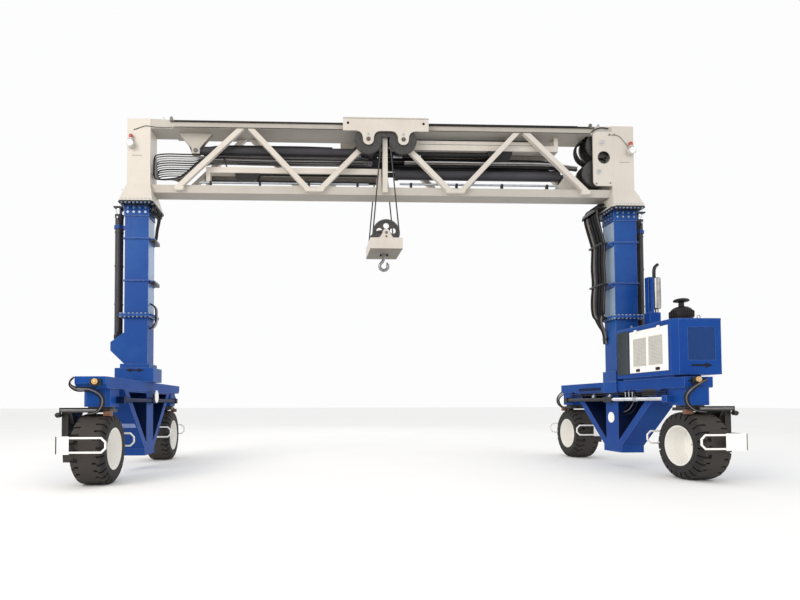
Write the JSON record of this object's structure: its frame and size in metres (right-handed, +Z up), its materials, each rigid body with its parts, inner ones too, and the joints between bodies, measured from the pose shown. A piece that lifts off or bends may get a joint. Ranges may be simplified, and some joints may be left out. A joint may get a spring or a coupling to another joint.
{
  "type": "mobile gantry crane",
  "caption": "Rubber-tyred mobile gantry crane: truss girder on two telescoping masts over steered two-wheel bogies, with a rope trolley, hook block and diesel hydraulic engine house.",
  "frame": {"origin": "on the ground under the middle of the crane", "axes": "+X along the girder towards the engine house, +Y along the bogies towards the rear, +Z up"},
  "size_m": [12.04, 5.684, 7.6737],
  "materials": {
    "blue_paint": "gloss",
    "cream_paint": "satin",
    "white_paint": "satin",
    "black_paint": "satin",
    "tyre": "matte",
    "bright_steel": "satin",
    "chromed_rod": "polished",
    "sheave_iron": "satin",
    "forged_steel": "rough",
    "wire_rope": "rough",
    "engine_iron": "rough",
    "black_plastic": "matte",
    "lamp_grey": "matte"
  },
  "bodies": {
    "left_leg": {"left_bogie_frame": "blue_paint", "left_steering_drive": "black_paint", "left_outer_mast": "blue_paint", "left_lift_barrel": "black_paint"},
    "portal": {"inner_masts": "black_paint", "lift_rods": "chromed_rod", "end_frames": "cream_paint", "top_chord": "cream_paint", "bottom_chord": "cream_paint", "front_truss_web": "cream_paint", "rear_truss_web": "cream_paint", "hoist_cylinders": "black_paint", "guide_beams": "cream_paint", "rope_sheave_stack": "cream_paint", "end_lights": "lamp_grey"},
    "right_leg": {"right_bogie_frame": "blue_paint", "right_steering_drive": "black_paint", "right_outer_mast": "blue_paint", "right_lift_barrel": "black_paint", "engine_house": "blue_paint", "engine": "engine_iron", "air_precleaner": "black_plastic", "muffler": "bright_steel"},
    "engine_door": {"engine_door": "white_paint"},
    "trolley": {"trolley_frame": "cream_paint", "trolley_sheaves": "sheave_iron"},
    "hook_block": {"hook_block": "cream_paint", "hook_block_sheaves": "sheave_iron", "hoist_ropes": "wire_rope"},
    "hook": {"hook": "forged_steel"},
    "traverse_carriage": {"traverse_carriage": "black_paint"},
    "hoist_carriage": {"hoist_carriage": "black_paint"},
    "front_left_steer": {"front_left_knuckle": "black_paint", "front_left_wheel_guards": "white_paint"},
    "front_left_wheel": {"front_left_tyre": "tyre", "front_left_rim": "white_paint"},
    "rear_left_steer": {"rear_left_knuckle": "black_paint", "rear_left_wheel_guards": "white_paint"},
    "rear_left_wheel": {"rear_left_tyre": "tyre", "rear_left_rim": "white_paint"},
    "front_right_steer": {"front_right_knuckle": "black_paint", "front_right_wheel_guards": "white_paint"},
    "front_right_wheel": {"front_right_tyre": "tyre", "front_right_rim": "white_paint"},
    "rear_right_steer": {"rear_right_knuckle": "black_paint", "rear_right_wheel_guards": "white_paint"},
    "rear_right_wheel": {"rear_right_tyre": "tyre", "rear_right_rim": "white_paint"}
  },
  "joints": [
    {"name": "left_lift", "type": "slide", "parent": "left_leg", "child": "portal", "axis": [0, 0, 1], "range_m": [0, 2.4]},
    {"name": "right_lift", "type": "slide", "parent": "portal", "child": "right_leg", "axis": [0, 0, -1], "range_m": [0, 2.4]},
    {"name": "front_left_steering", "type": "hinge", "parent": "left_leg", "child": "front_left_steer", "pos_m": [-5.43, -2.1, 1.35], "axis": [0, 0, 1], "range_deg": [-90, 90]},
    {"name": "front_left_wheel_spin", "type": "hinge", "parent": "front_left_steer", "child": "front_left_wheel", "pos_m": [-5.47, -2.1, 0.625], "axis": [1, 0, 0], "continuous": true},
    {"name": "rear_left_steering", "type": "hinge", "parent": "left_leg", "child": "rear_left_steer", "pos_m": [-5.43, 2.1, 1.35], "axis": [0, 0, 1], "range_deg": [-90, 90]},
    {"name": "rear_left_wheel_spin", "type": "hinge", "parent": "rear_left_steer", "child": "rear_left_wheel", "pos_m": [-5.47, 2.1, 0.625], "axis": [1, 0, 0], "continuous": true},
    {"name": "front_right_steering", "type": "hinge", "parent": "right_leg", "child": "front_right_steer", "pos_m": [5.43, -2.1, 1.35], "axis": [0, 0, 1], "range_deg": [-90, 90]},
    {"name": "front_right_wheel_spin", "type": "hinge", "parent": "front_right_steer", "child": "front_right_wheel", "pos_m": [5.47, -2.1, 0.625], "axis": [1, 0, 0], "continuous": true},
    {"name": "rear_right_steering", "type": "hinge", "parent": "right_leg", "child": "rear_right_steer", "pos_m": [5.43, 2.1, 1.35], "axis": [0, 0, 1], "range_deg": [-90, 90]},
    {"name": "rear_right_wheel_spin", "type": "hinge", "parent": "rear_right_steer", "child": "rear_right_wheel", "pos_m": [5.47, 2.1, 0.625], "axis": [1, 0, 0], "continuous": true},
    {"name": "trolley_travel", "type": "slide", "parent": "portal", "child": "trolley", "axis": [1, 0, 0], "range_m": [-3.7, 3.7]},
    {"name": "hoist", "type": "slide", "parent": "trolley", "child": "hook_block", "axis": [0, 0, 1], "range_m": [-3.6, 0.8], "deforming": ["hoist_ropes"]},
    {"name": "hook_swivel", "type": "hinge", "parent": "hook_block", "child": "hook", "pos_m": [0, 0, 4.75], "axis": [0, 0, 1], "continuous": true},
    {"name": "door_hinge", "type": "hinge", "parent": "right_leg", "child": "engine_door", "pos_m": [5.062, -1.4475, 2.913], "axis": [0, 1, 0], "range_deg": [0, 100]},
    {"name": "traverse_cylinder", "type": "slide", "parent": "portal", "child": "traverse_carriage", "axis": [1, 0, 0], "range_m": [-0.93, 0.93]},
    {"name": "hoist_cylinder", "type": "slide", "parent": "portal", "child": "hoist_carriage", "axis": [1, 0, 0], "range_m": [-0.4, 1.8]}
  ],
  "couplings": [
    {"joint": "right_lift", "follows": "left_lift", "ratio": 1},
    {"joint": "traverse_cylinder", "follows": "trolley_travel", "ratio": 0.25},
    {"joint": "hoist_cylinder", "follows": "hoist", "ratio": -0.5}
  ]
}
